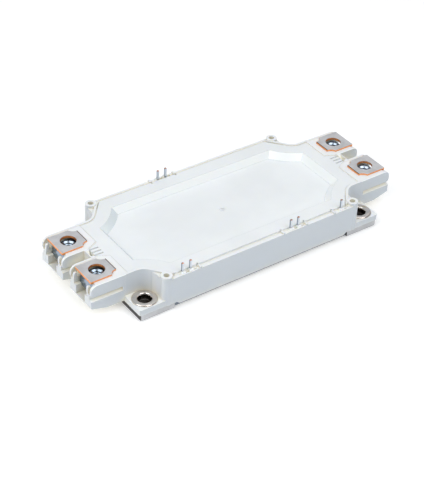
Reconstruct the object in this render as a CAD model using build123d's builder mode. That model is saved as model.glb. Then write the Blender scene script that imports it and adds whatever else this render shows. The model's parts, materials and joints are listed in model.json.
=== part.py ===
"""Half-bridge power module, 152 mm class package, with its inner substrates and leads.

Millimetres, +Z up. The origin is the centre of the baseplate's bottom face and
X runs along the module, from one terminal end to the other.
"""
from build123d import *
import os

os.makedirs("parts", exist_ok=True)

# Baseplate: nickel-plated copper with four bolt holes
plate_length = 120.6
plate_thick = 3.0
plate_side_inset = 0.3
plate_corner_r = 0.9
plate_waist_cut = 1.0
plate_land_length = 16.0
plate_edge_break = 0.3
bolt_inset_x = 5.3
bolt_inset_y = 6.0
bolt_hole_r = 2.75

# Mounting bushes: flanged sleeves that carry the bolt load to the baseplate
bush_flange_r = 5.3
bush_flange_thick = 0.6
bush_sleeve_r = 3.9
bush_proud = 0.4
bush_mouth = 0.5

# Moulded frame: walls, corner ears and screw posts
body_width = 62.0
wall_thick = 3.5
rim_z = 15.5
rim_width = 2.4
lip_z = 16.35
lip_width = 1.1
field_z = 16.2
bay_gap = 0.25
ear_over = 0.5
ear_side_inset = 0.2
ear_top_z = 5.7
ear_corner_r = 0.8
skirt_length = 84.0
skirt_slope = 1.5
skirt_bottom_z = 1.9
skirt_gap = 0.2
end_wall_over = 0.3
end_wall_thick = 3.5
post_inset_x = 7.75
post_inset_y = 2.25
post_r = 2.45
post_top_z = 16.7
post_hole_r = 1.2
post_hole_depth = 10.0
post_root_r = 1.5
rim_step = 0.3
rim_step_width = 1.0

# Lid: flat border round a sunken field
lid_end_inset = 1.9
lid_shoulder_inset = 3.0
lid_flank_inset = 4.05
lid_top_z = 16.0
lid_thick = 2.0
lid_gap = 0.3
field_border_end = 6.0
field_border_side = 6.5
field_end_inset = 5.65
field_flank_inset = 2.1
field_bow = 8.75
field_depth = 3.0
field_draft_end = 2.4
field_draft_side = 1.9
field_floor_thick = 1.8
field_wall_thick = 1.7
tongue_root_half = 5.2
tongue_tip_half = 2.6
tongue_reach = 5.2
tongue_groove_pitch = 2.0
tongue_groove_width = 0.6
tongue_groove_depth = 0.7
tongue_groove_length = 4.0
latch_notch = 0.7
gate_mark_r = 0.8

# Power terminals: copper plates on the block tops with legs to the substrates
term_ahead = 13.5
term_y = 11.0
term_top_z = 17.0
term_thick = 1.15
term_width = 12.0
term_reach_front = 6.25
term_reach_back = 6.5
term_hole_r = 3.4
term_notch_r = 3.0
term_notch_inset = 0.3
term_notch_offset = 6.9
leg_width = 7.4
leg_thick = 1.0
leg_run_z = 6.2
leg_drop_ahead = 3.0
leg_foot_inset = 1.1
leg_foot_length = 3.4
leg_bend_r = 1.0

# Captive nuts: square M6
nut_width = 9.9
nut_height = 5.6
nut_bevel_height = 2.2
nut_bevel_depth = 1.0
nut_core_r = 2.65
nut_mouth_r = 3.3
nut_slack = 0.1
nut_seat_z = 8.8

# Terminal blocks
block_root_inset = 4.4
block_reach = 15.55
block_bottom_z = 3.4
block_heel_inset = 7.35
block_toe_z = 5.4
block_nose_r = 3.0
block_edge_r = 0.3
block_draft = 0.15
block_gap = 5.4
web_length = 5.4
drain_half = 2.0
drain_length = 1.7
drain_depth = 2.6
groove_z = 8.8
groove_height = 2.1
groove_depth = 1.3
groove_slope = 0.6
groove_start_inset = 14.65
shell_corner_r = 1.5
window_half = 4.9
window_floor_z = 9.9
clip_half = 4.6
clip_thick = 1.1
clip_bottom_z = 12.2
clip_top_z = 14.8
clip_gap = 1.3
niche_depth = 2.0
niche_width = 1.5
niche_floor_z = 11.8
screw_pocket_z = 5.85
screw_pocket_half = 3.3
screw_pocket_length = 12.05

# Signal pins
pin_inset = 1.55
pin_width = 0.9
pin_thick = 0.8
pin_top_z = 20.5
pin_foot_z = 9.0
pin_foot_length = 3.85
pin_bend_r = 0.8
pin_tip_break = 0.25
pin_seat_height = 0.9
pin_seat_slope = 24
pin_shelf_width = 3.4
pin_x_near = (-40.1, -36.3, 13.75, 17.55, 40.4)
pin_x_far = (-13.2, -9.4)
rib_x_near = (-32.2, 9.4, 21.3, 36.0)
rib_x_far = (-17.0, -4.8)
rib_width = 0.9
mark_x_far = (13.8, 29.5, 42.8)
mark_r = 0.6

# Substrates, chips and wires
tile_end_gap = 1.95
tile_gap = 2.5
tile_side_gap = 8.0
copper_thick = 0.3
ceramic_thick = 0.6
copper_margin = 1.0
pad_gap = 1.5
pad_slot = 0.6
switch_size = 11.0
switch_x = -1.6
diode_length = 7.0
diode_width = 9.0
diode_x = 8.4
chip_thick = 0.2
wire_thick = 0.35
wire_rise = 2.0
wire_spacing = 1.6
wires_per_chip = 4
sensor_length = 3.2
sensor_width = 1.6
sensor_height = 0.9
gel_top_z = 8.4
gel_gap = 0.1

# Values that follow from the ones above
plate_width = body_width - 2 * plate_side_inset
bolt_x = plate_length / 2 - bolt_inset_x
bolt_y = body_width / 2 - bolt_inset_y
wall_y = body_width / 2
end_wall_x = plate_length / 2 + end_wall_over
ear_reach_x = plate_length / 2 + ear_over
ear_reach_y = wall_y - ear_side_inset
post_x = bolt_x - post_inset_x
post_y = wall_y - post_inset_y
bay_r = bush_flange_r + bay_gap
bay_x = bolt_x - bay_r
bay_y = bolt_y - bay_r
seat_z = lid_top_z - lid_thick
lid_x = end_wall_x - lid_end_inset
lid_y = wall_y - rim_width
lid_end_y = bay_y - lip_width - lid_gap
lid_shoulder_x = bolt_x - lid_shoulder_inset
lid_shoulder_r = bay_r + lip_width + lid_gap
lid_flank_x = post_x - lid_flank_inset
cavity_x = end_wall_x - end_wall_thick
cavity_y = wall_y - wall_thick
term_x = bolt_x + term_ahead
term_front_x = term_x + term_reach_front
term_back_x = term_x - term_reach_back
term_bottom_z = term_top_z - term_thick
block_root_x = end_wall_x - block_root_inset
block_front_x = end_wall_x + block_reach
gap_half = block_gap / 2
web_front_x = end_wall_x + web_length
pin_row_y = wall_y - pin_inset
pin_foot_y = pin_row_y - pin_foot_length
tile_reach = bay_x - tile_end_gap
tile_length = (2 * tile_reach - 2 * tile_gap) / 3
tile_width = 2 * (cavity_y - tile_side_gap)
tile_pitch = tile_length + tile_gap
tile_z = plate_thick
ceramic_z = tile_z + copper_thick
track_z = ceramic_z + ceramic_thick
chip_z = track_z + copper_thick
bush_top_z = ear_top_z + bush_proud
bush_seat_z = bush_top_z - bush_flange_thick
quarters = [(1, 1), (-1, 1), (-1, -1), (1, -1)]
corner_spots = [(sx * bolt_x, sy * bolt_y) for sx in (-1, 1) for sy in (-1, 1)]
post_spots = [(sx * post_x, sy * post_y) for sx in (-1, 1) for sy in (-1, 1)]
term_spots = [(-1, 1), (-1, -1), (1, 1), (1, -1)]
pin_spots = [(x, -1) for x in pin_x_near] + [(x, 1) for x in pin_x_far]
rib_spots = [(x, -1) for x in rib_x_near] + [(x, 1) for x in rib_x_far]


def at_corner(vertices, x, y):
    """Pick the vertices that lie at plus or minus x and y."""
    return [v for v in vertices if abs(abs(v.X) - x) < 0.01 and abs(abs(v.Y) - y) < 0.01]


def lid_outline(grow):
    """Lid edge with its four shoulders round the bolt bays, offset by grow."""
    with BuildSketch() as outline:
        Rectangle(2 * lid_x, 2 * lid_end_y)
        with BuildLine():
            Polyline(
                (lid_shoulder_x, lid_end_y),
                (lid_flank_x, lid_y),
                (-lid_flank_x, lid_y),
                (-lid_shoulder_x, lid_end_y),
                (-lid_shoulder_x, -lid_end_y),
                (-lid_flank_x, -lid_y),
                (lid_flank_x, -lid_y),
                (lid_shoulder_x, -lid_end_y),
                close=True,
            )
        make_face()
        fillet(at_corner(outline.vertices(), lid_shoulder_x, lid_end_y), lid_shoulder_r)
        if grow:
            offset(amount=grow, kind=Kind.INTERSECTION)
    return outline.sketch


def tongue_outline(grow):
    """Tongues of the lid that reach between the terminal blocks at both ends."""
    with BuildSketch() as outline:
        for end in (-1, 1):
            with BuildLine():
                Polyline(
                    (end * (lid_x - 1), -tongue_root_half),
                    (end * lid_x, -tongue_root_half),
                    (end * (lid_x + tongue_reach), -tongue_tip_half),
                    (end * (lid_x + tongue_reach), tongue_tip_half),
                    (end * lid_x, tongue_root_half),
                    (end * (lid_x - 1), tongue_root_half),
                    close=True,
                )
            make_face()
        if grow:
            offset(amount=grow, kind=Kind.INTERSECTION)
    return outline.sketch


def field_outline(inset_end, inset_side):
    """Sunken field: straight sides and ends joined by four inward bows."""
    half_x = lid_x - field_border_end - inset_end
    half_y = lid_y - field_border_side - inset_side
    end_y = lid_end_y - field_end_inset - inset_side * 0.9
    flank_x = lid_flank_x - field_flank_inset - inset_end * 0.75
    bow_x = bolt_x - field_bow - inset_end
    bow_y = bolt_y - field_bow - inset_side * 0.6
    with BuildSketch() as outline:
        with BuildLine():
            for sx, sy in quarters:
                first = (sx * half_x, sy * end_y)
                last = (sx * flank_x, sy * half_y)
                ThreePointArc(first, (sx * bow_x, sy * bow_y), last)
            Line((half_x, -end_y), (half_x, end_y))
            Line((-half_x, -end_y), (-half_x, end_y))
            Line((-flank_x, half_y), (flank_x, half_y))
            Line((-flank_x, -half_y), (flank_x, -half_y))
        make_face()
    return outline.sketch


def cavity_outline(inset):
    """Inside of the frame, kept clear of the bolt bays by slanted walls."""
    with BuildSketch() as outline:
        Rectangle(2 * cavity_x, 2 * cavity_y)
        for sx, sy in quarters:
            with BuildLine():
                Polyline(
                    (sx * (cavity_x + 1), sy * (bay_y - 2.6)),
                    (sx * (bay_x + 1.2), sy * (bay_y - 2.6)),
                    (sx * (bay_x - 5.6), sy * (bay_y + 4.9)),
                    (sx * (bay_x - 5.6), sy * (cavity_y + 1)),
                    (sx * (cavity_x + 1), sy * (cavity_y + 1)),
                    close=True,
                )
            make_face(mode=Mode.SUBTRACT)
        if inset:
            offset(amount=-inset, kind=Kind.INTERSECTION)
    return outline.sketch


# Baseplate
with BuildPart() as baseplate:
    with BuildSketch() as plate_plan:
        RectangleRounded(plate_length, plate_width, plate_corner_r)
        waist_length = plate_length - 2 * plate_land_length
        with Locations((0, plate_width / 2), (0, -plate_width / 2)):
            Rectangle(waist_length, 2 * plate_waist_cut, mode=Mode.SUBTRACT)
        with Locations(*corner_spots):
            Circle(bolt_hole_r, mode=Mode.SUBTRACT)
    extrude(amount=plate_thick)
    outer = baseplate.faces().sort_by(Axis.Z)[0].outer_wire().edges()
    chamfer(outer, plate_edge_break)
baseplate.part.label = "baseplate"
export_step(baseplate.part, "parts/baseplate.step")

# Mounting bushes
bushes = []
for n, (bx, by) in enumerate(corner_spots):
    with BuildPart() as mounting_bush:
        with BuildSketch(Plane.XZ) as bush_section:
            with BuildLine():
                Polyline(
                    (bolt_hole_r, plate_thick),
                    (bush_sleeve_r, plate_thick),
                    (bush_sleeve_r, bush_seat_z),
                    (bush_flange_r, bush_seat_z),
                    (bush_flange_r, bush_top_z - bush_flange_thick * 0.5),
                    (bush_flange_r - bush_flange_thick * 0.5, bush_top_z),
                    (bolt_hole_r + bush_mouth, bush_top_z),
                    (bolt_hole_r, bush_top_z - bush_mouth),
                    close=True,
                )
            make_face()
        revolve(axis=Axis.Z)
    placed = mounting_bush.part.moved(Location((bx, by, 0)))
    placed.label = f"mounting_bush_{n + 1}"
    export_step(placed, f"parts/mounting_bush_{n + 1}.step")
    bushes.append(placed)

# Power terminals
terminals = []
for n, (end, side) in enumerate(term_spots):
    cy = side * term_y
    with BuildPart() as power_terminal:
        with BuildSketch(Plane.XY.offset(term_bottom_z)):
            with Locations((end * (term_front_x + term_back_x) / 2, cy)):
                Rectangle(term_front_x - term_back_x, term_width)
            notch_x = end * (term_back_x + term_notch_inset)
            with Locations((notch_x, cy + term_notch_offset), (notch_x, cy - term_notch_offset)):
                Circle(term_notch_r, mode=Mode.SUBTRACT)
            with Locations((end * term_x, cy)):
                Circle(term_hole_r, mode=Mode.SUBTRACT)
        extrude(amount=term_thick)
        leg_x = end * (term_back_x + leg_thick / 2)
        leg_foot_x = tile_reach - leg_foot_inset
        foot_z = chip_z + leg_thick / 2
        with BuildLine() as leg_path:
            FilletPolyline(
                (leg_x, cy, term_bottom_z + term_thick / 2),
                (leg_x, cy, leg_run_z),
                (end * (tile_reach + leg_drop_ahead), cy, leg_run_z),
                (end * leg_foot_x, cy, foot_z),
                (end * (leg_foot_x - leg_foot_length), cy, foot_z),
                radius=leg_bend_r,
            )
        with BuildSketch(Plane((leg_x, cy, term_bottom_z + term_thick / 2), (1, 0, 0), (0, 0, -1))):
            Rectangle(leg_thick, leg_width)
        sweep(path=leg_path.wires()[0])
    power_terminal.part.label = f"power_terminal_{n + 1}"
    export_step(power_terminal.part, f"parts/power_terminal_{n + 1}.step")
    terminals.append(power_terminal.part)

# Captive nuts
nuts = []
for n, (end, side) in enumerate(term_spots):
    with BuildPart() as terminal_nut:
        nut_top_z = nut_seat_z + nut_height
        with BuildSketch(Plane.XY.offset(nut_seat_z)):
            Rectangle(nut_width, nut_width)
        extrude(amount=nut_height - nut_bevel_height)
        with BuildSketch(Plane.XY.offset(nut_top_z - nut_bevel_height)):
            Rectangle(nut_width, nut_width)
        with BuildSketch(Plane.XY.offset(nut_top_z)):
            Rectangle(nut_width - 2 * nut_bevel_depth, nut_width - 2 * nut_bevel_depth)
        loft()
        with BuildSketch(Plane.XY.offset(nut_seat_z)):
            Circle(nut_core_r)
        extrude(amount=nut_height, mode=Mode.SUBTRACT)
        mouths = terminal_nut.edges().filter_by(GeomType.CIRCLE)
        chamfer(mouths, nut_mouth_r - nut_core_r)
    placed = terminal_nut.part.moved(Location((end * term_x, side * term_y, 0)))
    placed.label = f"terminal_nut_{n + 1}"
    export_step(placed, f"parts/terminal_nut_{n + 1}.step")
    nuts.append(placed)

# Signal pins
pins = []
for n, (px, side) in enumerate(pin_spots):
    with BuildPart() as signal_pin:
        foot_centre_z = pin_foot_z + pin_thick / 2
        with BuildLine() as pin_path:
            FilletPolyline(
                (px, side * pin_row_y, pin_top_z),
                (px, side * pin_row_y, foot_centre_z),
                (px, side * pin_foot_y, foot_centre_z),
                radius=pin_bend_r,
            )
        with BuildSketch(Plane((px, side * pin_row_y, pin_top_z), (1, 0, 0), (0, 0, -1))):
            Rectangle(pin_width, pin_thick)
        sweep(path=pin_path.wires()[0])
        chamfer(signal_pin.faces().sort_by(Axis.Z)[-1].edges(), pin_tip_break)
    signal_pin.part.label = f"signal_pin_{n + 1}"
    export_step(signal_pin.part, f"parts/signal_pin_{n + 1}.step")
    pins.append(signal_pin.part)

# Terminal blocks: one is shaped, then mirrored to both sides and both ends
with BuildPart() as terminal_blocks:
    front_y = bay_y - block_draft
    with BuildSketch(Plane.XY.offset(block_bottom_z)):
        with BuildLine():
            Polyline(
                (block_root_x, gap_half),
                (block_front_x, gap_half),
                (block_front_x, front_y),
                (block_root_x, bay_y),
                close=True,
            )
        make_face()
    extrude(amount=lip_z - block_bottom_z)
    with BuildSketch(Plane.XZ) as block_side:
        with BuildLine():
            Polyline(
                (block_root_x, block_bottom_z),
                (block_front_x - block_heel_inset, block_bottom_z),
                (block_front_x, block_toe_z),
                (block_front_x, lip_z),
                (block_root_x, lip_z),
                close=True,
            )
        make_face()
        fillet(block_side.vertices().sort_by(Axis.Y)[-2:].sort_by(Axis.X)[-1], block_nose_r)
    extrude(amount=wall_y, both=True, mode=Mode.INTERSECT)
    flanks = terminal_blocks.faces().sort_by(Axis.Y)
    rounded = flanks[0].edges() + flanks[-1].edges()
    rounded = [e for e in rounded if e.center().Z > block_toe_z + 1 and e.center().X > block_root_x + 1]
    fillet(rounded, block_edge_r)

    # Long grooves in both side faces, with a sloping lower edge
    groove_top_z = groove_z + groove_height
    groove_start_x = block_front_x - groove_start_inset
    for start_x, face_y, outward in ((groove_start_x, front_y, 1), (web_front_x, gap_half, -1)):
        with BuildSketch(Plane.YZ.offset(start_x)):
            with BuildLine():
                Polyline(
                    (face_y + outward, groove_top_z),
                    (face_y - outward * groove_depth, groove_top_z),
                    (face_y - outward * groove_depth, groove_z + groove_slope),
                    (face_y, groove_z),
                    (face_y + outward, groove_z),
                    close=True,
                )
            make_face()
        extrude(amount=block_front_x, mode=Mode.SUBTRACT)

    # Front opening: window for the nut, a clip on each side of it and a niche beside each clip
    clip_out = clip_half + clip_thick
    niche_out = clip_out + niche_width
    nut_front_x = term_x + nut_width / 2 + nut_slack
    with BuildSketch(Plane.YZ.offset(block_front_x + 1)):
        with BuildLine():
            half_front = [
                (niche_out, lip_z + 1),
                (niche_out, niche_floor_z),
                (clip_out, niche_floor_z),
                (clip_out, clip_top_z),
                (clip_half, clip_top_z),
                (clip_half, clip_bottom_z),
                (window_half, clip_bottom_z),
                (window_half, window_floor_z),
            ]
            other_half = [(-y, z) for y, z in reversed(half_front)]
            Polyline([(term_y + y, z) for y, z in half_front + other_half], close=True)
        make_face()
    extrude(amount=-niche_depth - 1, mode=Mode.SUBTRACT)
    with BuildSketch(Plane.YZ.offset(nut_front_x - 0.1)):
        with Locations((term_y, (clip_bottom_z + lip_z + 1) / 2)):
            Rectangle(2 * niche_out, lip_z + 1 - clip_bottom_z)
        with Locations((term_y, (window_floor_z + clip_bottom_z) / 2)):
            Rectangle(2 * window_half, clip_bottom_z - window_floor_z)
    extrude(amount=clip_gap, mode=Mode.SUBTRACT)

    # Nut pocket, and the pocket below it for the end of the screw
    with BuildSketch(Plane.XY.offset(nut_seat_z)):
        with Locations((term_x, term_y)):
            Rectangle(nut_width + 2 * nut_slack, nut_width + 2 * nut_slack)
    extrude(amount=lip_z, mode=Mode.SUBTRACT)
    with BuildSketch(Plane.YZ.offset(block_front_x + 1)):
        with Locations((term_y, (screw_pocket_z + window_floor_z) / 2)):
            Rectangle(2 * screw_pocket_half, window_floor_z - screw_pocket_z)
    extrude(amount=-screw_pocket_length - 1, mode=Mode.SUBTRACT)

    # Rounded lower front corners of the thin walls outside the niches
    for wall_in, outward in ((term_y + niche_out, 1), (term_y - niche_out, -1)):
        with BuildSketch(Plane.XZ.offset(-wall_in)):
            with BuildLine():
                low = (block_front_x - shell_corner_r, groove_top_z)
                high = (block_front_x, groove_top_z + shell_corner_r)
                RadiusArc(low, high, -shell_corner_r)
                Polyline(high, (high[0] + 1, high[1]), (high[0] + 1, low[1]), low)
            make_face()
        extrude(amount=-outward * niche_out, mode=Mode.SUBTRACT)
    mirror(about=Plane.XZ)
    mirror(about=Plane.YZ)

# Moulded frame
with BuildPart() as housing_frame:
    with BuildSketch(Plane.XY.offset(plate_thick)) as frame_plan:
        Rectangle(2 * bay_x, body_width)
        Rectangle(2 * end_wall_x, 2 * bay_y)
        fillet(at_corner(frame_plan.vertices(), bay_x, bay_y), bay_r)
        fillet(at_corner(frame_plan.vertices(), bay_x, wall_y), bay_x - post_x)
        with Locations(*post_spots):
            Circle(post_r)
        crease_y = post_y - (post_r**2 - (bay_x - post_x) ** 2) ** 0.5
        fillet(at_corner(frame_plan.vertices(), bay_x, crease_y), post_root_r)
    extrude(amount=rim_z - plate_thick)

    # Corner ears under the bushes, and skirts beside the waist of the baseplate
    with BuildSketch(Plane.XY.offset(plate_thick)):
        RectangleRounded(2 * ear_reach_x, 2 * ear_reach_y, ear_corner_r)
    extrude(amount=ear_top_z - plate_thick)
    skirt_in = plate_width / 2 - plate_waist_cut + skirt_gap
    for side in (-1, 1):
        with BuildSketch(Plane.XZ.offset(-side * wall_y)):
            with BuildLine():
                Polyline(
                    (-skirt_length / 2 - skirt_slope, plate_thick),
                    (-skirt_length / 2, skirt_bottom_z),
                    (skirt_length / 2, skirt_bottom_z),
                    (skirt_length / 2 + skirt_slope, plate_thick),
                    close=True,
                )
            make_face()
        extrude(amount=side * (wall_y - skirt_in))

    # Lip round the lid's shoulders and ends, clear of the long rims
    with BuildSketch(Plane.XY.offset(plate_thick)):
        add(lid_outline(lid_gap + lip_width))
        with Locations((0, wall_y), (0, -wall_y)):
            Rectangle(2 * end_wall_x, 2 * (wall_y - lid_y), mode=Mode.SUBTRACT)
    extrude(amount=lip_z - plate_thick)
    add(terminal_blocks.part)

    # Webs between the blocks, and the screw posts above the rim
    with BuildSketch(Plane.XY.offset(block_bottom_z)):
        for end in (-1, 1):
            with Locations((end * (block_root_x + web_front_x) / 2, 0)):
                Rectangle(web_front_x - block_root_x, block_gap + 1)
    extrude(amount=field_z - block_bottom_z)
    with BuildSketch(Plane.XY.offset(rim_z)):
        with Locations(*post_spots):
            Circle(post_r)
    extrude(amount=post_top_z - rim_z)

    # Sunken field on each block, open towards the lid
    with BuildSketch(Plane.XY.offset(field_z)):
        for sx, sy in quarters:
            with BuildLine():
                Polyline(
                    (sx * lid_x, sy * tongue_tip_half),
                    (sx * end_wall_x, sy * tongue_tip_half),
                    (sx * web_front_x, sy * (gap_half + lip_width)),
                    (sx * (block_front_x + 1), sy * (gap_half + lip_width)),
                    (sx * (block_front_x + 1), sy * (bay_y - block_draft - lip_width)),
                    (sx * lid_x, sy * (bay_y - lip_width)),
                    close=True,
                )
            make_face()
    extrude(amount=1, mode=Mode.SUBTRACT)

    # Cavity, and the seat that the lid drops into
    with BuildSketch(Plane.XY.offset(plate_thick)):
        add(cavity_outline(0))
    extrude(amount=seat_z - plate_thick + 0.5, mode=Mode.SUBTRACT)
    with BuildSketch(Plane.XY.offset(seat_z)):
        add(lid_outline(lid_gap))
        add(tongue_outline(lid_gap))
    extrude(amount=post_top_z - seat_z + 1, mode=Mode.SUBTRACT)

    # Stepped rim along both long sides
    step_y = lid_y + lid_gap + rim_step_width / 2
    with BuildSketch(Plane.XY.offset(rim_z - rim_step)):
        with Locations((0, step_y), (0, -step_y)):
            Rectangle(2 * lid_flank_x + 2, rim_step_width)
    extrude(amount=lip_z, mode=Mode.SUBTRACT)

    # Ribs at the ends of the pin groups, a seat and a shelf at each pin
    rib_length = wall_y - lid_y - lid_gap
    with BuildSketch(Plane.XY.offset(rim_z - rim_step - 0.1)):
        with Locations(*[(rx, side * (wall_y - rib_length / 2)) for rx, side in rib_spots]):
            Rectangle(rib_width, rib_length)
    extrude(amount=field_z - rim_z + rim_step + 0.1)
    with BuildSketch(Plane.XY.offset(rim_z - rim_step)):
        with Locations(*[(px, side * (pin_row_y + 0.42)) for px, side in pin_spots]):
            Rectangle(pin_width + 1.9, pin_thick + 1.1)
    extrude(amount=pin_seat_height + rim_step, taper=pin_seat_slope)
    shelf_length = cavity_y + 0.2 - pin_foot_y
    with BuildSketch(Plane.XY.offset(plate_thick)):
        with Locations(*[(px, side * (pin_foot_y + shelf_length / 2)) for px, side in pin_spots]):
            Rectangle(pin_shelf_width, shelf_length)
    extrude(amount=pin_foot_z - plate_thick)
    with BuildSketch(Plane.XY.offset(rim_z - 0.7)):
        with Locations(*[(px + 1.95, side * (pin_row_y + 0.5)) for px, side in pin_spots]):
            SlotOverall(1.5, 0.6)
    extrude(amount=1, mode=Mode.SUBTRACT)
    with BuildSketch(Plane.XY.offset(rim_z - 0.15)):
        with Locations(*[(mx, wall_y - 0.75) for mx in mark_x_far]):
            Circle(mark_r)
    extrude(amount=1, mode=Mode.SUBTRACT)

    # Drain notches in the webs between the terminal blocks
    for end in (-1, 1):
        with BuildSketch(Plane.YZ.offset(end * (lid_x + tongue_reach))):
            with BuildLine():
                drain_tip = (0, field_z - drain_depth)
                Polyline((-drain_half, field_z), drain_tip, (drain_half, field_z), close=True)
            make_face()
        extrude(amount=end * drain_length, mode=Mode.SUBTRACT)

    # Bolt bays: bush seats and sleeves, then the holes in the posts
    with BuildSketch(Plane.XY.offset(bush_seat_z)):
        with Locations(*corner_spots):
            Circle(bush_flange_r + 0.1)
    extrude(amount=post_top_z, mode=Mode.SUBTRACT)
    with BuildSketch(Plane.XY):
        with Locations(*corner_spots):
            Circle(bush_sleeve_r)
    extrude(amount=post_top_z, mode=Mode.SUBTRACT)
    with BuildSketch(Plane.XY.offset(post_top_z)):
        with Locations(*post_spots):
            Circle(post_hole_r)
    extrude(amount=-post_hole_depth, mode=Mode.SUBTRACT)

    # Room for the moulded-in terminals and pins
    add(terminals + pins, mode=Mode.SUBTRACT)
housing_frame.part.label = "housing_frame"
export_step(housing_frame.part, "parts/housing_frame.step")

# Lid
with BuildPart() as lid:
    with BuildSketch(Plane.XY.offset(seat_z)):
        add(lid_outline(0))
        add(tongue_outline(0))
    extrude(amount=lid_thick)
    tray_bottom_z = lid_top_z - field_depth - field_floor_thick
    with BuildSketch(Plane.XY.offset(tray_bottom_z)):
        add(field_outline(-field_wall_thick, -field_wall_thick))
    extrude(amount=seat_z - tray_bottom_z)
    with BuildSketch(Plane.XY.offset(lid_top_z - field_depth)):
        add(field_outline(field_draft_end, field_draft_side))
    with BuildSketch(Plane.XY.offset(lid_top_z)):
        add(field_outline(0, 0))
    loft(mode=Mode.SUBTRACT)
    with BuildSketch(Plane.XY.offset(lid_top_z - tongue_groove_depth)):
        groove_x = lid_x + tongue_reach - tongue_groove_length / 2
        for k in (-1, 0, 1):
            with Locations((groove_x, k * tongue_groove_pitch), (-groove_x, k * tongue_groove_pitch)):
                Rectangle(tongue_groove_length, tongue_groove_width)
    extrude(amount=1, mode=Mode.SUBTRACT)
    with BuildSketch(Plane.XY.offset(seat_z)):
        with Locations(*[(rx, side * lid_y) for rx, side in rib_spots]):
            Rectangle(latch_notch, 2 * latch_notch)
    extrude(amount=lid_thick, mode=Mode.SUBTRACT)
    with BuildSketch(Plane.XY.offset(lid_top_z - field_depth - 0.1)):
        Circle(gate_mark_r)
    extrude(amount=0.2, mode=Mode.SUBTRACT)
lid.part.label = "lid"
export_step(lid.part, "parts/lid.step")

# Substrates with their chips, wires and sensor
inner = []
pad_width = (tile_width - 2 * copper_margin - pad_gap) / 2
pad_y = (pad_width + pad_gap) / 2
for k, letter in enumerate("abc"):
    tx = (k - 1) * tile_pitch
    inward = -1 if k == 2 else 1
    with BuildPart() as substrate_copper:
        with BuildSketch(Plane.XY.offset(tile_z)):
            with Locations((tx, 0)):
                Rectangle(tile_length - copper_margin, tile_width - copper_margin)
        extrude(amount=copper_thick)
    with BuildPart() as substrate_ceramic:
        with BuildSketch(Plane.XY.offset(ceramic_z)):
            with Locations((tx, 0)):
                Rectangle(tile_length, tile_width)
        extrude(amount=ceramic_thick)
    with BuildPart() as substrate_tracks:
        with BuildSketch(Plane.XY.offset(track_z)):
            with Locations((tx, pad_y), (tx, -pad_y)):
                Rectangle(tile_length - 2 * copper_margin, pad_width)
            slot_y = pad_y + switch_size / 2 + 0.9
            with Locations((tx + inward * 2, slot_y), (tx + inward * 2, -slot_y)):
                Rectangle(tile_length - 12, pad_slot, mode=Mode.SUBTRACT)
        extrude(amount=copper_thick)
    for name, piece in (
        ("substrate_copper", substrate_copper.part),
        ("substrate_ceramic", substrate_ceramic.part),
        ("substrate_tracks", substrate_tracks.part),
    ):
        piece.label = f"{name}_{letter}"
        export_step(piece, f"parts/{name}_{letter}.step")
        inner.append(piece)
    for m, side in enumerate((-1, 1)):
        with BuildPart() as switch_chip:
            with BuildSketch(Plane.XY.offset(chip_z)):
                with Locations((tx + inward * switch_x, side * pad_y)):
                    Rectangle(switch_size, switch_size)
            extrude(amount=chip_thick)
        with BuildPart() as diode_chip:
            with BuildSketch(Plane.XY.offset(chip_z)):
                with Locations((tx + inward * diode_x, side * pad_y)):
                    Rectangle(diode_length, diode_width)
            extrude(amount=chip_thick)
        switch_chip.part.label = f"igbt_chip_{letter}{m + 1}"
        diode_chip.part.label = f"diode_chip_{letter}{m + 1}"
        export_step(switch_chip.part, f"parts/igbt_chip_{letter}{m + 1}.step")
        export_step(diode_chip.part, f"parts/diode_chip_{letter}{m + 1}.step")
        inner += [switch_chip.part, diode_chip.part]
    chip_top = chip_z + chip_thick
    switch_end = tx + inward * (switch_x + switch_size / 2 - 2.5)
    diode_start = tx + inward * (diode_x - diode_length / 2 + 1.2)
    diode_end = tx + inward * (diode_x + diode_length / 2 - 1.2)
    pad_end = tx + inward * (diode_x + diode_length / 2 + 1.5)
    with BuildPart() as bond_wires:
        for side in (-1, 1):
            for w in range(wires_per_chip):
                wy = side * pad_y + (w - (wires_per_chip - 1) / 2) * wire_spacing
                with BuildSketch(Plane.XZ.offset(-wy - wire_thick / 2)):
                    for x0, x1, z1 in ((switch_end, diode_start, chip_top), (diode_end, pad_end, chip_z)):
                        span = x1 - x0
                        step = inward * wire_thick
                        crown = chip_top + wire_rise
                        with BuildLine():
                            Polyline(
                                (x0, chip_top),
                                (x0 + span * 0.25, crown),
                                (x0 + span * 0.75, crown),
                                (x1, z1),
                                (x1 - step, z1),
                                (x0 + span * 0.75 - step / 2, crown - wire_thick),
                                (x0 + span * 0.25 + step / 2, crown - wire_thick),
                                (x0 + step, chip_top),
                                close=True,
                            )
                        make_face()
                extrude(amount=wire_thick)
    bond_wires.part.label = f"bond_wires_{letter}"
    export_step(bond_wires.part, f"parts/bond_wires_{letter}.step")
    inner.append(bond_wires.part)

with BuildPart() as temperature_sensor:
    with BuildSketch(Plane.XY.offset(chip_z)):
        Rectangle(sensor_width, sensor_length)
    extrude(amount=sensor_height)
temperature_sensor.part.label = "temperature_sensor"
export_step(temperature_sensor.part, "parts/temperature_sensor.step")
inner.append(temperature_sensor.part)

# Silicone gel that covers the chips
with BuildPart() as silicone_gel:
    with BuildSketch(Plane.XY.offset(plate_thick)):
        add(cavity_outline(gel_gap))
        shelf_y = pin_foot_y - gel_gap
        with Locations(*[(px, side * (shelf_y + cavity_y) / 2) for px, side in pin_spots]):
            Rectangle(pin_shelf_width + 2 * gel_gap, cavity_y - shelf_y, mode=Mode.SUBTRACT)
    extrude(amount=gel_top_z - plate_thick)
    add(inner + terminals, mode=Mode.SUBTRACT)
silicone_gel.part.label = "silicone_gel"
export_step(silicone_gel.part, "parts/silicone_gel.step")
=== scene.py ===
"""Half-bridge power module: edges, metals, moulded finish, stage and camera."""
import json
from math import cos, radians, sin

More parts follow.
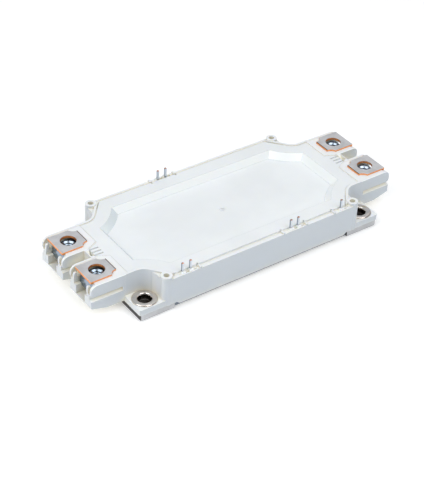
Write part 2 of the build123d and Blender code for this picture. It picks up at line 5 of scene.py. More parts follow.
import bmesh
import bpy
from mathutils import Matrix, Vector


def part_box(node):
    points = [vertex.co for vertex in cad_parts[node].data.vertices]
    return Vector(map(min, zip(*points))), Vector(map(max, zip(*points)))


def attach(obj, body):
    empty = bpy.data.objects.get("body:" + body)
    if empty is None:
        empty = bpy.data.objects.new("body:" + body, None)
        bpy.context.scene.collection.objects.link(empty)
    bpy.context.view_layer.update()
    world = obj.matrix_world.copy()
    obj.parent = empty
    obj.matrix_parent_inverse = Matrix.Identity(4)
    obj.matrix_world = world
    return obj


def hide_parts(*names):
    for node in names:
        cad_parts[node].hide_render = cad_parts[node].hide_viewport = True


bl_info = {
    "name": "Power module dresser",
    "version": (1, 0, 0),
    "blender": (4, 5, 0),
    "location": "View3D > Sidebar > Power module",
    "description": "Softens the edges of a power module and gives each piece its finish",
    "category": "Object",
}

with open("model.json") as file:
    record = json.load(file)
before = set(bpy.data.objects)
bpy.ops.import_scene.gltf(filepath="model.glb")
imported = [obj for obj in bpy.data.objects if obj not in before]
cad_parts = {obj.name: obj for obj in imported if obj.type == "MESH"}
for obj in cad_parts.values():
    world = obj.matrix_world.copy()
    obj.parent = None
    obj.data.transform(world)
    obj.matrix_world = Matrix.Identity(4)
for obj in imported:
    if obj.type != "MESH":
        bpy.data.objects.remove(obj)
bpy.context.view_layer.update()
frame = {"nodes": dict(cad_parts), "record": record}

MM = 0.001
FULL_TURN = radians(360)
# Numbers of the pieces: a terminal, a nut and a bush near each corner, and seven pins.
CORNERS = range(1, 5)
PINS = range(1, 8)


def tint(red, green, blue):
    """Linear colour for a screen colour given as three numbers up to 255."""
    parts = [c / 255 for c in (red, green, blue)]
    return [p / 12.92 if p <= 0.04045 else ((p + 0.055) / 1.055) ** 2.4 for p in parts] + [1.0]


def dimmed(shade, *shares):
    """A colour times one share, or times one share each for red, green and blue."""
    return [c * s for c, s in zip(shade[:3], shares * 3)] + [1]


def colour(name, note, red, green, blue):
    """A colour property with its default."""
    return bpy.props.FloatVectorProperty(
        name=name, description=note, default=tint(red, green, blue), size=4, min=0, max=1,
        subtype="COLOR")


def length(name, note, size):
    """A length property with its default in millimetres."""
    return bpy.props.FloatProperty(
        name=name, description=note, default=size * MM, min=0, precision=5, subtype="DISTANCE",
        unit="LENGTH")


class MODULE_PG_colours(bpy.types.PropertyGroup):
    """Colours of the module's finishes."""

    frame_white: colour("Frame", "Moulded frame", 238, 241, 243)
    lid_white: colour("Lid", "Moulded lid", 235, 239, 241)
    # Warm painted shade deep in the plastic's gaps.
    gap_shade_tone: colour("Gaps", "Tone of the plastic deep in its gaps", 240, 234, 214)
    seam_cream: colour("Seam", "Sealant in the seam round the lid", 250, 248, 240)
    plate_nickel: colour("Plate nickel", "Nickel on the terminals", 226, 226, 228)
    cut_copper: colour("Cut copper", "Bare copper on the cut edges", 250, 170, 108)
    bush_nickel: colour("Bush nickel", "Nickel on the bushes", 234, 226, 219)
    base_nickel: colour("Base nickel", "Nickel on the baseplate", 199, 200, 202)
    nut_zinc: colour("Nut zinc", "Zinc on the captive nuts", 152, 167, 182)
    pin_tin: colour("Pin tin", "Tin on the signal pins", 172, 181, 194)
    tip_copper: colour("Pin tip", "Bare tips of the pins", 208, 150, 122)
    floor_pale: colour("Floor", "Floor under the module", 238, 239, 240)


class MODULE_PG_sizes(bpy.types.PropertyGroup):
    """Small sizes that the finish adds."""

    frame_edge: length("Frame edge", "Rounding of the moulded frame's edges", 0.22)
    lid_edge: length("Lid edge", "Rounding of the lid's edges", 0.3)
    plate_edge: length("Plate edge", "Rounding of the terminals' edges", 0.12)
    pin_edge: length("Pin edge", "Rounding of the pins' edges", 0.1)
    base_edge: length("Base edge", "Rounding of the baseplate's edges", 0.2)
    nut_corner: length("Nut corner", "Rounding of the nut's upright corners", 0.45)
    thread_pitch: length("Thread pitch", "Pitch of the nut's thread", 1.0)
    bush_edge: length("Bush edge", "Rounding of the bush flange", 0.42)
    tip_height: length("Pin tip", "Height of the bare tip of a pin", 0.28)
    end_seal: length("End seal", "Depth of the sealant below the lid at its ends", 0.06)
    rim_seal: length("Rim seal", "Depth of the sealant below the lid along its sides", 0.72)


def colours():
    """The scene's colour settings."""
    return bpy.context.scene.module_colours


def sizes():
    """The scene's size settings."""
    return bpy.context.scene.module_sizes


class Wire:
    """A node's output that can be used in sums."""

    def __init__(self, finish, socket):
        self.finish = finish
        self.socket = socket

    def sum(self, operation, *values):
        """Add a math node over the values."""
        return self.finish.node("ShaderNodeMath", {"operation": operation}, dict(enumerate(values)))

    def __add__(self, other):
        return self.sum("ADD", self, other)

    def __sub__(self, other):
        return self.sum("SUBTRACT", self, other)

    def __rsub__(self, other):
        return self.sum("SUBTRACT", other, self)

    def __mul__(self, other):
        return self.sum("MULTIPLY", self, other)

    def __pow__(self, other):
        return self.sum("POWER", self, other)

    def __gt__(self, other):
        return self.sum("GREATER_THAN", self, other)

    def __lt__(self, other):
        return self.sum("LESS_THAN", self, other)

    def __abs__(self):
        return self.sum("ABSOLUTE", self)

    __radd__ = __add__

    def wave(self):
        """Sine of the value."""
        return self.sum("SINE", self)

    def ramp(self, low, high):
        """0 below low, 1 above high, and smooth between them."""
        found = {"Value": self, "From Min": low, "From Max": high}
        return self.finish.node("ShaderNodeMapRange", {"interpolation_type": "SMOOTHSTEP"}, found)


class Finish:
    """A material, its shader and the nodes that feed it, which count in millimetres."""

    def __init__(self, name, constants, edge=0.1 * MM):
        self.material = bpy.data.materials.new(name)
        self.material.use_nodes = True
        self.tree = self.material.node_tree
        self.tree.nodes.clear()
        self.count = 0
        self.shader = self.tree.nodes.new("ShaderNodeBsdfPrincipled")
        output = self.tree.nodes.new("ShaderNodeOutputMaterial")
        output.location = (300, 0)
        self.tree.links.new(self.shader.outputs[0], output.inputs[0])
        for socket, value in constants.items():
            self.shader.inputs[socket].default_value = value
        spot = self.node("ShaderNodeTexCoord", {}, {}, "Object")
        in_millimetres = {"Vector": spot, "Scale": (1000, 1000, 1000)}
        self.place = self.node("ShaderNodeMapping", {}, in_millimetres)
        self.normal = self.node("ShaderNodeNewGeometry", {}, {}, "Normal")
        self.soft = self.node("ShaderNodeBevel", {"samples": 4}, {"Radius": edge})

    def node(self, kind, settings, sockets, out=0):
        """Add a node, set it up, fill its sockets and return one output."""
        made = self.tree.nodes.new(kind)
        column, row = divmod(self.count, 6)
        made.location = (-240 - 180 * column, 300 - 220 * row)
        self.count += 1
        for key, value in settings.items():
            setattr(made, key, value)
        for key, value in sockets.items():
            if isinstance(value, Wire):
                self.tree.links.new(value.socket, made.inputs[key])
            else:
                made.inputs[key].default_value = value
        return Wire(self, made.outputs[out])

    def feed(self, socket, wire):
        """Link a wire to the shader."""
        self.tree.links.new(wire.socket, self.shader.inputs[socket])

    def noise(self, scale, detail, stretch=None, roughness=0.5):
        """Noise in cycles per millimetre, stretched along an axis if asked."""
        spot = self.place
        if stretch:
            spot = self.node("ShaderNodeMapping", {}, {"Vector": self.place, "Scale": stretch})
        sockets = {"Vector": spot, "Scale": scale, "Detail": detail, "Roughness": roughness}
        return self.node("ShaderNodeTexNoise", {}, sockets)

    def mix(self, factor, first, second):
        """Colour between two colours."""
        settings = {"data_type": "RGBA", "clamp_factor": True}
        return self.node("ShaderNodeMix", settings, {0: factor, 6: first, 7: second}, 2)

    def axis(self, vector, letter):
        """One part of a vector."""
        return self.node("ShaderNodeSeparateXYZ", {}, {"Vector": vector}, letter)

    def bump(self, height, strength, distance):
        """Feed the shader's normal from a relief in millimetres, over softened edges."""
        sockets = {
            "Height": height, "Strength": strength, "Distance": distance * MM, "Normal": self.soft}
        self.feed("Normal", self.node("ShaderNodeBump", {}, sockets, "Normal"))

    def from_bolt(self):
        """Distance in millimetres from the nearest bolt's axis."""
        low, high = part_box("mounting_bush_4")
        across = abs(self.axis(self.place, "X")) - abs(low.x + high.x) / 2 / MM
        along = abs(self.axis(self.place, "Y")) - abs(low.y + high.y) / 2 / MM
        return (across * across + along * along) ** 0.5

    def edge_light_mask(self, full=0.25):
        """Mask of the edges, where the softened normal leaves the surface's own, for painted
        highlights and painted shade along edges.
        """
        sockets = {0: self.soft, 1: self.normal}
        same = self.node("ShaderNodeVectorMath", {"operation": "DOT_PRODUCT"}, sockets, "Value")
        return (1 - same).ramp(full * 0.08, full)

    def gap(self, reach):
        """Mask of the places that lie deep in a gap, within a reach in millimetres, for painted
        shade.
        """
        sockets = {"Distance": reach * MM}
        open_share = self.node("ShaderNodeAmbientOcclusion", {"samples": 6}, sockets, "AO")
        return (1 - open_share).ramp(0.2, 0.68)


def moulded(name, white, grain, gloss, edge, edge_light_tone, edge_light_full, gap_shade, shaded):
    """White moulding: cloudy tone, fine grain, and painted light and shade.

    grain is in cycles per millimetre. The edges take a painted line in the given edge tone,
    a highlight when it is light and shade when it is dark, full at the given edge value;
    the slopes take a painted highlight, with painted shade where they face +X; the gaps
    take a warm painted shade and the upright walls a darker painted shade, each as far as
    its own share says.
    """
    gap_reach = 8
    made = Finish(name, {
        "Roughness": gloss, "Specular IOR Level": 0.5, "Subsurface Weight": 0.3,
        "Subsurface Scale": 0.7 * MM, "Subsurface Radius": (1.0, 0.85, 0.6)}, edge)
    cloud = made.noise(0.045, 3)
    flow = made.noise(0.16, 2, (0.35, 1, 1))
    body = made.mix(cloud.ramp(0.35, 0.7), dimmed(white, 0.95), white)
    body = made.mix(flow.ramp(0.4, 0.75) * 0.35, body, dimmed(white, 0.97))
    facing = abs(made.axis(made.normal, "Z"))
    across = abs(made.axis(made.normal, "Y")).ramp(0.2, 0.9)
    upright = 1 - facing.ramp(0.08, 0.45)
    # Painted shade: upright walls turn darker and cooler, most where they face ±Y.
    body = made.mix(
        upright * (across * 0.68 + 0.24) * shaded, body, dimmed(white, 0.63, 0.665, 0.70))
    # Painted highlight on the slopes, and painted shade on the slopes that face +X.
    slope = facing.ramp(0.3, 0.5) * (1 - facing.ramp(0.75, 0.95))
    body = made.mix(slope, body, tint(250, 255, 255))
    rightward = made.axis(made.normal, "X").ramp(0.1, 0.6)
    body = made.mix(slope * rightward * 0.6, body, tint(208, 221, 228))
    # Painted edge line: a highlight when the edge tone is light, shade when it is dark.
    body = made.mix(made.edge_light_mask(edge_light_full) * 0.55, body, edge_light_tone)
    # Painted shade: a warm tone deep in the gaps.
    body = made.mix(made.gap(gap_reach) * gap_shade, body, list(colours().gap_shade_tone))
    made.feed("Base Color", body)
    fine = made.noise(grain, 3, None, 0.6)
    made.feed("Roughness", gloss - 0.06 + fine * 0.1 + cloud * 0.04)
    made.bump(fine * 0.6 + made.noise(grain * 0.12, 2) * 0.4, 0.25, 0.012)
    return made.material


def speckled(name, constants, grain, span, shades, gloss, relief):
    """Plain material whose one noise varies its tone, its gloss and its relief.

    grain and relief are passed on to the noise and to the bump, span is the noise's
    range from the first shade to the second, and gloss is a roughness and its swing.
    """
    made = Finish(name, constants)
    speck = made.noise(*grain)
    made.feed("Base Color", made.mix(speck.ramp(*span), *shades))
    made.feed("Roughness", gloss[0] + speck * gloss[1])
    made.bump(speck, *relief)
    return made.material


def sealant_finish():
    """Pale adhesive that fills the seam round the lid."""
    return speckled(
        "seam_sealant", {"Roughness": 0.4}, (0.4, 3), (0.3, 0.7),
        (tint(240, 237, 226), list(colours().seam_cream)), (0.34, 0.12), (0.3, 0.03))


def plated(name, body, rough, stretch=(0.1, 1, 1), dark=0.82, edge=0.1 * MM):
    """Matt plated metal with a cloudy plating and fine rolling marks."""
    made = Finish(name, {"Metallic": 1.0, "Roughness": rough}, edge)
    cloud = made.noise(0.22, 4)
    marks = made.noise(3.5, 3, stretch)
    shade = made.mix(cloud.ramp(0.3, 0.75), dimmed(body, dark), body)
    made.dull = rough - 0.08 + marks * 0.12 + cloud * 0.06
    made.feed("Roughness", made.dull)
    made.bump(marks, 0.2, 0.006)
    return made, shade


def bare_copper(made):
    """Copper of a cut edge: paler above and darker towards the bottom."""
    dark_level, smooth = 15.9, 16.35
    height = made.axis(made.place, "Z")
    streak = made.noise(2.2, 3, (1, 1, 0.15))
    copper = list(colours().cut_copper)
    share = height.ramp(dark_level, smooth) * 0.75 + streak.ramp(0.35, 0.7) * 0.25
    return made.mix(share, dimmed(copper, 0.86, 0.62, 0.42), copper)


def terminal_finish():
    """Nickel plate with bare copper where the strip was cut, a painted sheen on its edges and a
    painted shadow at its back bend.
    """
    cut_foot, cut_top, cut_end = 15.8, 16.84, 16.97
    back_shadow_full, back_shadow_clear = 62.2, 62.45
    made, nickel = plated(
        "terminal_nickel", list(colours().plate_nickel), 0.46, edge=sizes().plate_edge)
    upright = 1 - abs(made.axis(made.normal, "Z")).ramp(0.35, 0.7)
    height = made.axis(made.place, "Z")
    cut = upright * (height > cut_foot) * (1 - height.ramp(cut_top, cut_end))
    # Painted sheen: a cool, bright tone along the plate's edges.
    nickel = made.mix(made.edge_light_mask() * 0.5, nickel, tint(214, 222, 232))
    # Painted shadow: dark brown where the plate bends down into the frame at its back.
    bend = abs(made.axis(made.place, "X"))
    nickel = made.mix(1 - bend.ramp(back_shadow_full, back_shadow_clear), nickel, tint(92, 66, 52))
    made.feed("Base Color", made.mix(cut, nickel, bare_copper(made)))
    made.feed("Roughness", made.dull * (1 - cut * 0.4))
    made.feed("Metallic", 1 - cut * 0.45)
    return made.material


def pin_finish():
    """Tinned pin with a bare tip, drawing marks along it, and painted light and shade on its faces.
    """
    fade = 0.08
    made, tin = plated(
        "pin_metal", list(colours().pin_tin), 0.3, (1, 1, 0.06), edge=sizes().pin_edge)
    height = made.axis(made.place, "Z")
    tip_foot = (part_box("signal_pin_1")[1].z - sizes().tip_height) / MM
    copper = list(colours().tip_copper)
    bare = made.mix(made.noise(1.5, 2).ramp(0.3, 0.7), dimmed(copper, 0.7), copper)
    # Painted shade on all faces, then a painted highlight on the faces toward ±Y.
    lit_face = abs(made.axis(made.normal, "Y")).ramp(0.5, 0.9)
    side = made.mix(0.4, tin, tint(150, 157, 168))
    tin = made.mix(lit_face * 0.7, side, tint(222, 227, 233))
    made.feed("Base Color", made.mix(height.ramp(tip_foot - fade, tip_foot), tin, bare))
    return made.material


def bush_finish():
    """Turned and plated sleeve, with fine rings round its own axis, a painted highlight on its
    edges and painted shade in its bore.
    """
    wave_rate, bore_radius = 42, 2.85
    made = Finish("bush_nickel", {"Metallic": 1.0, "Roughness": 0.3})
    radius = made.from_bolt()
    rings = (radius * wave_rate).wave() * 0.5 + 0.5
    cloud = made.noise(0.5, 3)
    body = list(colours().bush_nickel)
    shade = made.mix(cloud.ramp(0.3, 0.7), dimmed(body, 0.86), body)
    # Painted highlight along the flange's edges.
    shade = made.mix(made.edge_light_mask() * 0.6, shade, tint(240, 238, 232))
    # Painted shade inside the bore.
    bore = radius < bore_radius
    made.feed("Base Color", made.mix(bore * 0.9, shade, tint(66, 56, 47)))
    made.feed("Roughness", 0.08 + rings * 0.05 + cloud * 0.06 + bore * 0.12)
    made.bump(rings, 0.08, 0.002)
    return made.material


def nut_finish():
    """Zinc-plated steel with a faint blue cast and a painted highlight on its edges and corners."""
    made, zinc = plated("nut_steel", list(colours().nut_zinc), 0.2, (1, 1, 0.2), 0.86)
    drift = made.noise(0.12, 2)
    zinc = made.mix(drift.ramp(0.45, 0.75) * 0.4, zinc, tint(196, 192, 208))
    # Painted highlight along the edges and corners.
    made.feed("Base Color", made.mix(made.edge_light_mask() * 0.8, zinc, tint(244, 246, 248)))
    return made.material


def base_finish():
    """Rolled and plated baseplate, with painted shade on its ends, in its holes and on its waist,
    and a painted highlight on its edges.
    """
    hole_radius, waist_reach = 3.5, 44.2
    made, nickel = plated(
        "baseplate_nickel", list(colours().base_nickel), 0.4, (0.06, 1, 1),
        edge=sizes().base_edge)
    # Painted shade: the end faces darkened nearly to black.
    end = abs(made.axis(made.normal, "X")).ramp(0.6, 0.9)
    nickel = made.mix(end * 0.92, nickel, tint(58, 54, 52))
    # Painted shade in the bolt holes.
    nickel = made.mix((made.from_bolt() < hole_radius) * 0.92, nickel, tint(48, 42, 36))
    # Painted shade on the recessed waist of the long sides.
    side = abs(made.axis(made.normal, "Y")).ramp(0.6, 0.9)
    waist = side * (abs(made.axis(made.place, "X")) < waist_reach)
    nickel = made.mix(waist * 0.8, nickel, tint(98, 110, 124))
    # Painted highlight along the edges.
    made.feed("Base Color", made.mix(made.edge_light_mask() * 0.4, nickel, tint(224, 224, 222)))
    return made.material


def chip_finish():
    """Metallised silicon with a faint grid of cells."""
    made = Finish("chip_silicon", {"Metallic": 0.85, "Roughness": 0.28})
    sockets = {"Vector": made.place, "Scale": 0.9, "Randomness": 0.0}
    cell = made.node("ShaderNodeTexVoronoi", {"distance": "CHEBYCHEV"}, sockets)
    made.feed("Base Color", made.mix(
        cell.ramp(0.36, 0.46), tint(148, 150, 158), tint(92, 94, 104)))
    made.feed("Roughness", 0.24 + cell * 0.15)
    made.bump(cell, 0.15, 0.01)
    return made.material


def inner_finishes():
    """Finishes of the sealed pieces, by slot."""
    copper, copper_shade = plated("substrate_metal", tint(214, 140, 100), 0.42, (1, 1, 1), 0.78)
    copper.feed("Base Color", copper_shade)
    wire, wire_shade = plated("wire_aluminium", tint(214, 216, 220), 0.34)
    wire.feed("Base Color", wire_shade)
    return {
        "substrate_metal": copper.material,
        "wire_aluminium": wire.material,
        "chip_silicon": chip_finish(),
        "substrate_white": speckled(
            "substrate_white", {"Roughness": 0.5}, (2.4, 4), (0.4, 0.7),
            (tint(232, 230, 222), tint(242, 241, 236)), (0.45, 0.12), (0.2, 0.01)),
        "sensor_body": speckled(
            "sensor_body", {"Roughness": 0.42}, (3.0, 3), (0.35, 0.7),
            (tint(38, 38, 41), tint(66, 66, 70)), (0.36, 0.15), (0.2, 0.01)),
        "gel": speckled(
            "gel", {"Roughness": 0.12, "Transmission Weight": 0.85}, (0.08, 2), (0.3, 0.7),
            (tint(214, 220, 214), tint(232, 236, 230)), (0.08, 0.08), (0.1, 0.05)),
    }


def verts_in(result):
    """The vertices among what a bmesh operator gives back."""
    return [g for g in result["geom"] if isinstance(g, bmesh.types.BMVert)]


def settle(name, bm, finish, slot, *nodes):
    """Turn a bmesh into a finished piece, which may stand for the given nodes."""
    level, crease = 0.995, radians(38)
    mesh = bpy.data.meshes.new(name)
    bm.to_mesh(mesh)
    bm.free()
    for face in mesh.polygons:
        face.use_smooth = abs(face.normal.z) < level
    mesh.set_sharp_from_angle(angle=crease)
    mesh.materials.append(finish)
    piece = bpy.data.objects.new(name, mesh)
    bpy.context.scene.collection.objects.link(piece)
    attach(piece, "root")
    if nodes:
        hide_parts(*nodes)


def dress(finish, *nodes):
    """Give the named nodes a finish."""
    for node in nodes:
        if node not in frame["nodes"]:
            raise RuntimeError(f"there is no node {node} to dress")
        mesh = frame["nodes"][node].data
        mesh.materials.clear()
        mesh.materials.append(finish)


class Step(bpy.types.Operator):
    """Shared base of the steps."""

    bl_options = {"REGISTER", "UNDO"}


class MODULE_OT_housing(Step):
    """Soften the frame and the lid and give them their moulded finish"""

    bl_idname = "module.housing"
    bl_label = "Frame and lid"

    def execute(self, context):
        # The frame's edges get a painted highlight, the lid's edges painted shade.
        frame_white = moulded(
            "frame_plastic", list(colours().frame_white), grain=5.0, gloss=0.46,
            edge=sizes().frame_edge, edge_light_tone=tint(250, 251, 252), edge_light_full=0.25, gap_shade=0.8, shaded=1.0)
        lid_white = moulded(
            "lid_plastic", list(colours().lid_white), grain=6.0, gloss=0.3,
            edge=sizes().lid_edge, edge_light_tone=tint(158, 169, 177), edge_light_full=0.05, gap_shade=0.1, shaded=0.0)
        dress(frame_white, "housing_frame")
        dress(lid_white, "lid")
        settle("lid_seal", self.seal(), sealant_finish(), "gel")
        settle("gate_mark", self.gate(), frame_white, "frame_plastic")
        settle("pocket_corners", self.corners(), frame_white, "frame_plastic")
        return {"FINISHED"}

    def seal(self):
        """Bead of sealant in the seam round the lid, taken from the lid's own outer wall."""
        wall, side_band, foot_gap, seam = 2.0 * MM, 0.9 * MM, 0.02 * MM, 0.29 * MM
        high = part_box("lid")[1]
        seat = high.z - wall
        bm = bmesh.new()
        bm.from_mesh(frame["nodes"]["lid"].data)
        bmesh.ops.remove_doubles(bm, verts=bm.verts, dist=2e-6)
        spare = [f for f in bm.faces if not self.outer(f, seat)]
        bmesh.ops.delete(bm, geom=spare, context="FACES")
        if not bm.faces:
            raise RuntimeError("the lid's outer wall was not found")
        for vert in bm.verts:
            long_side = abs(vert.co.y) > high.y - side_band
            top = sizes().rim_seal if long_side else sizes().end_seal
            vert.co.z = high.z - top if vert.co.z > seat + wall / 2 else seat + foot_gap
        bmesh.ops.solidify(bm, geom=bm.faces, thickness=-seam)
        bmesh.ops.recalc_face_normals(bm, faces=bm.faces)
        return bm

    def outer(self, face, seat):
        """True for a face of the lid's upright outer wall."""
        half_length, half_width, field_end = 59 * MM, 28.6 * MM, 44 * MM
        least_height, slack, border = 1.5 * MM, 0.01 * MM, 0.9
        levels = [v.co.z for v in face.verts]
        middle = face.calc_center_median()
        upright = abs(face.normal.z) <= 0.1 and max(levels) - min(levels) > least_height
        on_seat = min(levels) > seat - slack
        outward = face.normal.dot(middle) > 0
        reach = max(abs(middle.x) / half_length, abs(middle.y) / half_width)
        return upright and on_seat and outward and (reach > border or abs(middle.x) > field_end)

    def gate(self):
        """Low ring that the moulding gate left in the middle of the sunken field."""
        field_depth, steps = 3.0 * MM, 32
        profile = [(0.5, -0.03), (0.75, 0.12), (0.95, 0.16), (1.15, 0.12), (1.4, -0.03)]
        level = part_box("lid")[1].z - field_depth
        bm = bmesh.new()
        verts = [bm.verts.new((reach * MM, 0, level + rise * MM)) for reach, rise in profile]
        edges = [bm.edges.new(pair) for pair in zip(verts, verts[1:] + verts[:1])]
        bmesh.ops.spin(
            bm, geom=verts + edges, cent=(0, 0, 0), axis=(0, 0, 1), angle=FULL_TURN,
            steps=steps, use_merge=True)
        bmesh.ops.remove_doubles(bm, verts=bm.verts, dist=1e-7)
        bmesh.ops.recalc_face_normals(bm, faces=bm.faces)
        return bm

    def corners(self):
        """Moulded corners of the nut pockets, seen in the notches of the plates."""
        notch_reach, aside, below = 12.45 * MM, 6.9 * MM, 1.1 * MM
        nut_gap, side_wall = 0.15 * MM, 5.2 * MM
        bm = bmesh.new()
        for n in CORNERS:
            low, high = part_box(f"power_terminal_{n}")
            nut_low, nut_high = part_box(f"terminal_nut_{n}")
            end = 1 if high.x > 0 else -1
            across = (nut_low.y + nut_high.y) / 2
            back = min(abs(nut_low.x), abs(nut_high.x)) - nut_gap
            notch = max(abs(high.x), abs(low.x)) - notch_reach
            for side in (-1, 1):
                place = Vector((end * notch, across + side * aside, high.z - below))
                self.corner(bm, place, (
                    (Vector((end * back, 0, 0)), Vector((-end, 0, 0))),
                    (Vector((0, across + side * side_wall, 0)), Vector((0, side, 0))),
                ))
        bmesh.ops.recalc_face_normals(bm, faces=bm.faces)
        return bm

    def corner(self, bm, place, planes):
        """Thin disc, cut off past each plane, which is a point and the way that goes."""
        radius, thickness, segments = 2.97 * MM, 0.29 * MM, 48
        disc = bmesh.ops.create_circle(
            bm, cap_ends=True, segments=segments, radius=radius,
            matrix=Matrix.Translation(place))["verts"]
        for point, away in planes:
            faces = self.faces_at(disc)
            edges = [e for f in faces for e in f.edges]
            verts = [v for f in faces for v in f.verts]
            disc = verts_in(bmesh.ops.bisect_plane(
                bm, geom=list(dict.fromkeys(faces + edges + verts)), plane_co=point,
                plane_no=away, clear_outer=True))
        raised = bmesh.ops.extrude_face_region(bm, geom=self.faces_at(disc))
        bmesh.ops.translate(bm, verts=verts_in(raised), vec=(0, 0, thickness))

    def faces_at(self, verts):
        """The faces at those vertices that are still there."""
        return list(dict.fromkeys(f for v in verts if v.is_valid for f in v.link_faces))


class MODULE_OT_terminals(Step):
    """Soften the four power terminals and show copper on their cut edges"""

    bl_idname = "module.terminals"
    bl_label = "Power terminals"

    def execute(self, context):
        dress(terminal_finish(), *[f"power_terminal_{n}" for n in CORNERS])
        return {"FINISHED"}


class MODULE_OT_nuts(Step):
    """Build the four captive nuts with bevelled tops and threaded bores"""

    bl_idname = "module.nuts"
    bl_label = "Captive nuts"

    def execute(self, context):
        finish = nut_finish()
        for n in CORNERS:
            node = f"terminal_nut_{n}"
            settle(f"captive_nut_{n}", self.nut(*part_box(node)), finish, "nut_steel", node)
        return {"FINISHED"}

    def nut(self, low, high):
        """Square body with a tapered top, bored through, with a thread ridge inside."""
        taper, drop, core, mouth = 1.0 * MM, 2.2 * MM, 2.65 * MM, 3.3 * MM
        lead, thread_gap, least_cap = 0.65 * MM, 0.7 * MM, 20 * MM * MM
        centre = (low + high) / 2
        size = high - low
        body = Vector((centre.x, centre.y, (low.z + high.z - drop) / 2))
        shape = Matrix.Translation(body) @ Matrix.Diagonal((size.x, size.y, size.z - drop, 1))
        bm = bmesh.new()
        bmesh.ops.create_cube(bm, size=1.0, matrix=shape)
        upright = [e for e in bm.edges if abs((e.verts[0].co - e.verts[1].co).z) > size.z / 2]
        bmesh.ops.bevel(
            bm, geom=upright, offset=sizes().nut_corner, offset_type="OFFSET", affect="EDGES",
            segments=3, profile=0.5, material=-1)
        top = [f for f in bm.faces if f.normal.z > 0.9]
        lifted = verts_in(bmesh.ops.extrude_face_region(bm, geom=top))
        bmesh.ops.delete(bm, geom=top, context="FACES_ONLY")
        bmesh.ops.translate(bm, verts=lifted, vec=(0, 0, drop))
        share = 1 - 2 * taper / size.x
        middle = Matrix.Translation((-centre.x, -centre.y, 0))
        bmesh.ops.scale(bm, verts=lifted, vec=(share, share, 1), space=middle)
        caps = [f for f in bm.faces if abs(f.normal.z) > 0.99 and f.calc_area() > least_cap]
        if len(caps) != 2:
            raise RuntimeError("the nut's two flat faces were not found")
        necks = []
        for cap in caps:
            level = cap.calc_center_median().z
            inward = -lead if level > body.z else lead
            outline = list(cap.edges)
            bmesh.ops.delete(bm, geom=[cap], context="FACES_ONLY")
            rim = self.ring(bm, mouth, centre, level)
            neck = self.ring(bm, core, centre, level + inward)
            bmesh.ops.bridge_loops(bm, edges=outline + rim)
            bmesh.ops.bridge_loops(bm, edges=rim + neck)
            necks += neck
        bmesh.ops.bridge_loops(bm, edges=necks)
        bmesh.ops.recalc_face_normals(bm, faces=bm.faces)
        self.thread(bm, centre, core, low.z + thread_gap, high.z - thread_gap)
        return bm

    def ring(self, bm, radius, centre, level):
        """Circle of edges round the nut's axis."""
        place = Matrix.Translation((centre.x, centre.y, level))
        made = bmesh.ops.create_circle(bm, segments=48, radius=radius, matrix=place)
        return list(dict.fromkeys(e for v in made["verts"] for e in v.link_edges))

    def thread(self, bm, centre, core, start, end):
        """Helical ridge that stands a little inside the bore."""
        sunk, depth, steps = 0.05 * MM, 0.3 * MM, 36
        pitch = sizes().thread_pitch
        turns = int((end - start) / pitch)
        profile = [(core + sunk, 0), (core - depth, pitch * 0.3), (core + sunk, pitch * 0.6)]
        body = set(bm.faces)
        verts = [bm.verts.new((centre.x + r, centre.y, start + z)) for r, z in profile]
        face = bm.faces.new(verts)
        bmesh.ops.spin(
            bm, geom=[face, *face.edges, *verts], cent=centre, axis=(0, 0, 1),
            dvec=(0, 0, pitch / steps), angle=FULL_TURN * turns, steps=steps * turns,
            use_merge=False)
        bmesh.ops.recalc_face_normals(bm, faces=[f for f in bm.faces if f not in body])


class MODULE_OT_bushes(Step):
    """Spin the four flanged bushes"""

    bl_idname = "module.bushes"
    bl_label = "Mounting bushes"

    def execute(self, context):
        finish = bush_finish()
        for n in CORNERS:
            node = f"mounting_bush_{n}"
            settle(f"turned_bush_{n}", self.bush(*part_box(node)), finish, "bush_nickel", node)
        return {"FINISHED"}

    def bush(self, low, high):
        """Profile of the sleeve and flange, rounded and spun once."""
        bore, mouth, sleeve, flange = 2.75 * MM, 3.2 * MM, 3.9 * MM, 0.6 * MM
        lead, mouth_edge, near = 0.7 * MM, 0.3 * MM, 1e-6
        centre = (low + high) / 2
        outer = (high.x - low.x) / 2
        bm = bmesh.new()
        profile = [
            (bore, low.z),
            (sleeve, low.z),
            (sleeve, high.z - flange),
            (outer, high.z - flange),
            (outer, high.z),
            (mouth, high.z),
            (bore, high.z - lead),
        ]
        verts = [bm.verts.new((centre.x + r, centre.y, z)) for r, z in profile]
        bm.faces.new(verts)
        for reach, edge in ((outer, sizes().bush_edge), (mouth, mouth_edge)):
            spot = Vector((centre.x + reach, centre.y, high.z))
            corner = [v for v in bm.verts if (v.co - spot).length < near]
            bmesh.ops.bevel(
                bm, geom=corner, offset=edge, offset_type="OFFSET", affect="VERTICES", segments=4,
                profile=0.5, material=-1)
        bmesh.ops.delete(bm, geom=list(bm.faces), context="FACES_ONLY")
        bmesh.ops.spin(
            bm, geom=list(bm.verts) + list(bm.edges), cent=centre, axis=(0, 0, 1),
            angle=FULL_TURN, steps=72, use_merge=True)
        bmesh.ops.remove_doubles(bm, verts=bm.verts, dist=1e-7)
        bmesh.ops.recalc_face_normals(bm, faces=bm.faces)
        return bm


class MODULE_OT_pins(Step):
    """Soften the seven signal pins and bare their tips"""

    bl_idname = "module.pins"
    bl_label = "Signal pins"

    def execute(self, context):
        dress(pin_finish(), *[f"signal_pin_{n}" for n in PINS])
        return {"FINISHED"}


class MODULE_OT_baseplate(Step):
    """Soften the baseplate and give it its rolled and plated finish"""

    bl_idname = "module.baseplate"
    bl_label = "Baseplate"

    def execute(self, context):
        dress(base_finish(), "baseplate")
        return {"FINISHED"}


